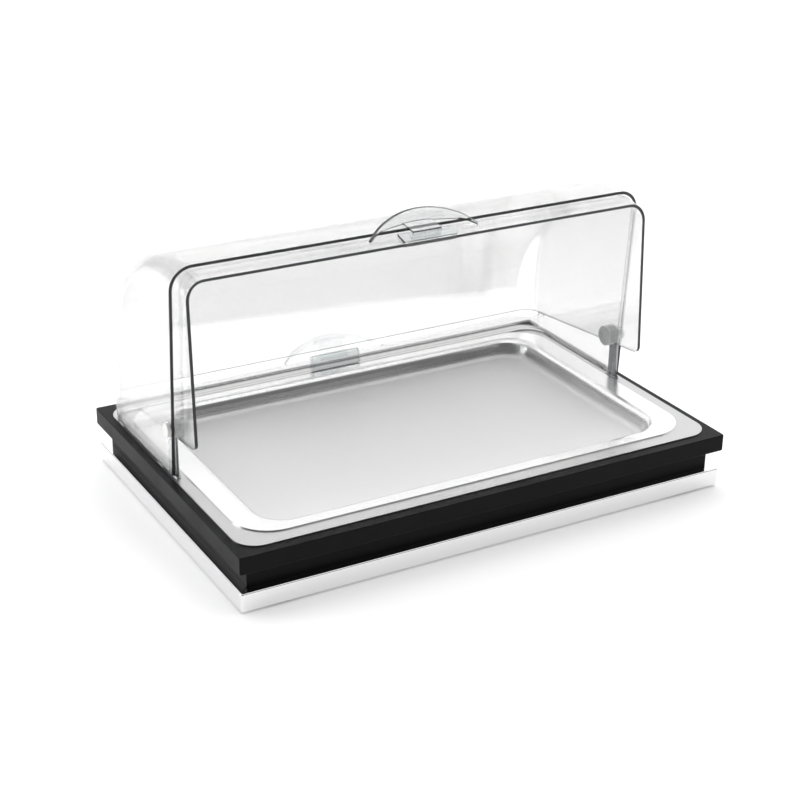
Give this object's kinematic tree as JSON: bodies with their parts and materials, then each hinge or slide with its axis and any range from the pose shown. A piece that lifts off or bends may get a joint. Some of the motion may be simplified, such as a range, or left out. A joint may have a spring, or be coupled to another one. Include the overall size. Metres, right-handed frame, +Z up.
{
  "type": "roll top chafer",
  "caption": "Free-standing buffet server: shallow steel tray in a basin and framed plinth, under a clear roll top hood whose front half rolls back into the rear half",
  "frame": {"origin": "on the table, under the middle of the plinth, at the centre of the foot plane", "axes": "+Z up, +X along the hood's pivots, -Y towards the open front"},
  "size_m": [0.5734, 0.3867, 0.3119],
  "materials": {
    "polished_steel": "mirror polished stainless sheet",
    "feet_rubber": "matt black rubber",
    "pan_steel": "plain zinc plated sheet",
    "screw_steel": "zinc plated",
    "foam_board": "closed cell foam",
    "neck_black": "satin black",
    "frame_black": "satin black with a fine grain",
    "basin_steel": "satin stainless steel",
    "pack_plastic": "pale blue blow moulded plastic",
    "pack_cap_plastic": "blue plastic",
    "tray_steel": "stainless steel with a polished rim and a satin floor",
    "post_steel": "stainless steel strip",
    "clear_fittings": "clear moulded plastic",
    "cap_white": "white plastic",
    "clear_sheet": "clear polycarbonate with polished faces",
    "clear_grip": "clear moulded plastic",
    "buffer_silicone": "translucent silicone",
    "bushing_nylon": "natural nylon"
  },
  "bodies": {
    "base": {"plinth_frame": "polished_steel", "plinth_feet": "feet_rubber", "base_pan": "pan_steel", "pan_screws": "screw_steel", "insulation_board": "foam_board", "neck_frame": "neck_black", "top_frame": "frame_black", "frame_screws": "screw_steel"},
    "basin": {"steel_basin": "basin_steel", "cooling_pack_left": "pack_plastic", "cooling_pack_right": "pack_plastic", "pack_caps": "pack_cap_plastic"},
    "tray": {"serving_tray": "tray_steel"},
    "hood": {"hinge_post_left": "post_steel", "hinge_post_right": "post_steel", "pivot_bolt_left": "clear_fittings", "pivot_bolt_right": "clear_fittings", "pivot_cap_left": "cap_white", "pivot_cap_right": "cap_white", "rear_shell": "clear_sheet", "rear_grip": "clear_grip", "rear_clip": "clear_grip", "rear_buffers": "buffer_silicone", "stop_pegs": "clear_fittings"},
    "front_half": {"front_shell": "clear_sheet", "front_bushings": "bushing_nylon", "front_grip": "clear_grip", "front_clip": "clear_grip"}
  },
  "joints": [
    {"name": "basin_lift", "type": "slide", "parent": "base", "child": "basin", "axis": [0, 0, 1], "range_m": [0, 0.06]},
    {"name": "tray_lift", "type": "slide", "parent": "basin", "child": "tray", "axis": [0, 0, 1], "range_m": [0, 0.03]},
    {"name": "hood_lift", "type": "slide", "parent": "basin", "child": "hood", "axis": [0, 0, 1], "range_m": [0, 0.15]},
    {"name": "front_roll", "type": "hinge", "parent": "hood", "child": "front_half", "pos_m": [0, -0.004, 0.116], "axis": [1, 0, 0], "range_deg": [0, 93]}
  ]
}
